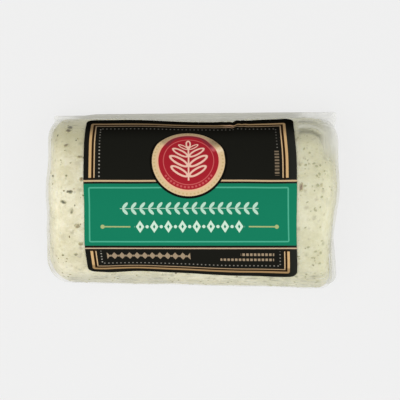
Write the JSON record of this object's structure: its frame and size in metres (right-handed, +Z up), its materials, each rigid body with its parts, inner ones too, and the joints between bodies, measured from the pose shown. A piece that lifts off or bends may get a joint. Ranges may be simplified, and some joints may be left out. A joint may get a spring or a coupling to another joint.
{
  "type": "goat cheese log",
  "caption": "Soft goat cheese log with herbs, vacuum sealed in clear film with a thin seal lip, lying on its back under a printed wrap label.",
  "frame": {"origin": "centre of the flat base that the log lies on", "axes": "+X along the log, to the right with the label upright; +Y towards the side where the seal lip stands out; +Z up, out of the label"},
  "size_m": [0.0828, 0.0504, 0.0366],
  "materials": {
    "cheese_in_film": "cream cheese under tight clear film, soft gloss",
    "label_print": "printed film, black and green fields with gold lines, satin",
    "clear_film": "clear, glossy, wrinkled"
  },
  "bodies": {
    "root": {"sealed_pack": "cheese_in_film", "label": "label_print"}
  },
  "joints": []
}
